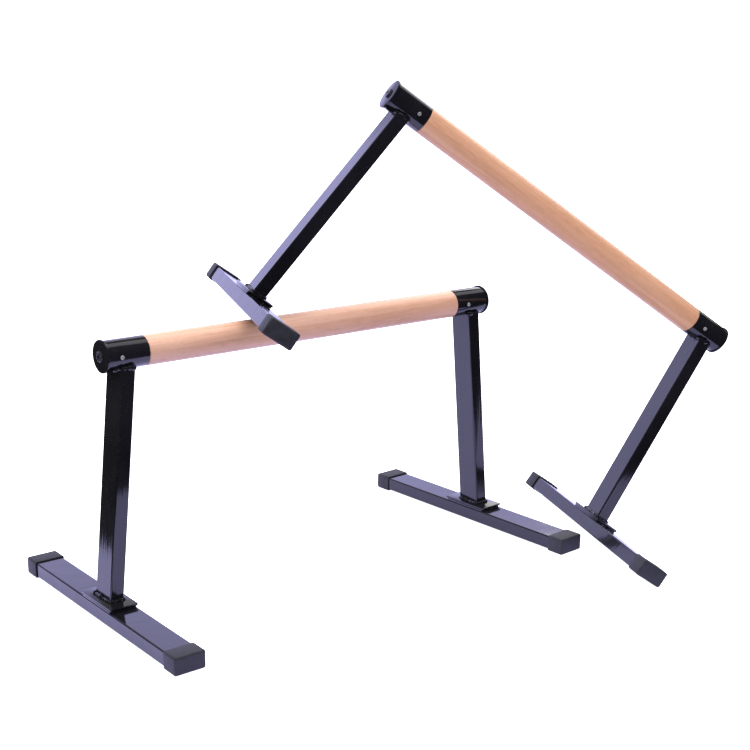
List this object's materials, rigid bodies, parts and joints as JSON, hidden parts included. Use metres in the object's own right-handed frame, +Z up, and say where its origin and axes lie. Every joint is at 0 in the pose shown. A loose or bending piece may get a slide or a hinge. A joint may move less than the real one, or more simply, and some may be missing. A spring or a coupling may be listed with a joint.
{
  "type": "parallettes",
  "caption": "Pair of freestanding wooden-bar parallettes on black steel legs with long tubular feet and rubber caps, one leaning across the other's bar.",
  "frame": {"origin": "on the floor, under the middle of the pair's common box", "axes": "+X along the standing parallette's bar from its left to its right end, -Y its front, +Z up"},
  "size_m": [0.935, 0.5886, 0.6831],
  "materials": {
    "beech": "fine-sanded beech, satin, straight grain along the bar",
    "black_paint": "gloss black paint over welded steel",
    "rubber": "matte moulded rubber",
    "black_bolt": "black-oxide steel, satin",
    "silver_screw": "zinc-plated steel",
    "insert_brass": "plain machined"
  },
  "bodies": {
    "standing_parallette": {"standing_bar": "beech", "standing_foot_bolts": "black_bolt", "standing_left_back_cap": "rubber", "standing_left_end_bolt": "black_bolt", "standing_left_end_disc": "black_paint", "standing_left_foot_plate": "black_paint", "standing_left_foot_tube": "black_paint", "standing_left_foot_weld": "black_paint", "standing_left_front_cap": "rubber", "standing_left_insert_nut": "insert_brass", "standing_left_leg": "black_paint", "standing_left_leg_plate": "black_paint", "standing_left_leg_weld": "black_paint", "standing_left_sleeve": "black_paint", "standing_left_sleeve_weld": "black_paint", "standing_right_back_cap": "rubber", "standing_right_end_bolt": "black_bolt", "standing_right_end_disc": "black_paint", "standing_right_foot_plate": "black_paint", "standing_right_foot_tube": "black_paint", "standing_right_foot_weld": "black_paint", "standing_right_front_cap": "rubber", "standing_right_insert_nut": "insert_brass", "standing_right_leg": "black_paint", "standing_right_leg_plate": "black_paint", "standing_right_leg_weld": "black_paint", "standing_right_sleeve": "black_paint", "standing_right_sleeve_weld": "black_paint", "standing_sleeve_screws": "silver_screw"},
    "leaning_parallette": {"leaning_bar": "beech", "leaning_foot_bolts": "black_bolt", "leaning_left_back_cap": "rubber", "leaning_left_end_bolt": "black_bolt", "leaning_left_end_disc": "black_paint", "leaning_left_foot_plate": "black_paint", "leaning_left_foot_tube": "black_paint", "leaning_left_foot_weld": "black_paint", "leaning_left_front_cap": "rubber", "leaning_left_insert_nut": "insert_brass", "leaning_left_leg": "black_paint", "leaning_left_leg_plate": "black_paint", "leaning_left_leg_weld": "black_paint", "leaning_left_sleeve": "black_paint", "leaning_left_sleeve_weld": "black_paint", "leaning_right_back_cap": "rubber", "leaning_right_end_bolt": "black_bolt", "leaning_right_end_disc": "black_paint", "leaning_right_foot_plate": "black_paint", "leaning_right_foot_tube": "black_paint", "leaning_right_foot_weld": "black_paint", "leaning_right_front_cap": "rubber", "leaning_right_insert_nut": "insert_brass", "leaning_right_leg": "black_paint", "leaning_right_leg_plate": "black_paint", "leaning_right_leg_weld": "black_paint", "leaning_right_sleeve": "black_paint", "leaning_right_sleeve_weld": "black_paint", "leaning_sleeve_screws": "silver_screw"}
  },
  "joints": [
    {"name": "lift_off", "type": "slide", "parent": "standing_parallette", "child": "leaning_parallette", "axis": [0, 0, 1], "range_m": [0, 0.35]}
  ]
}
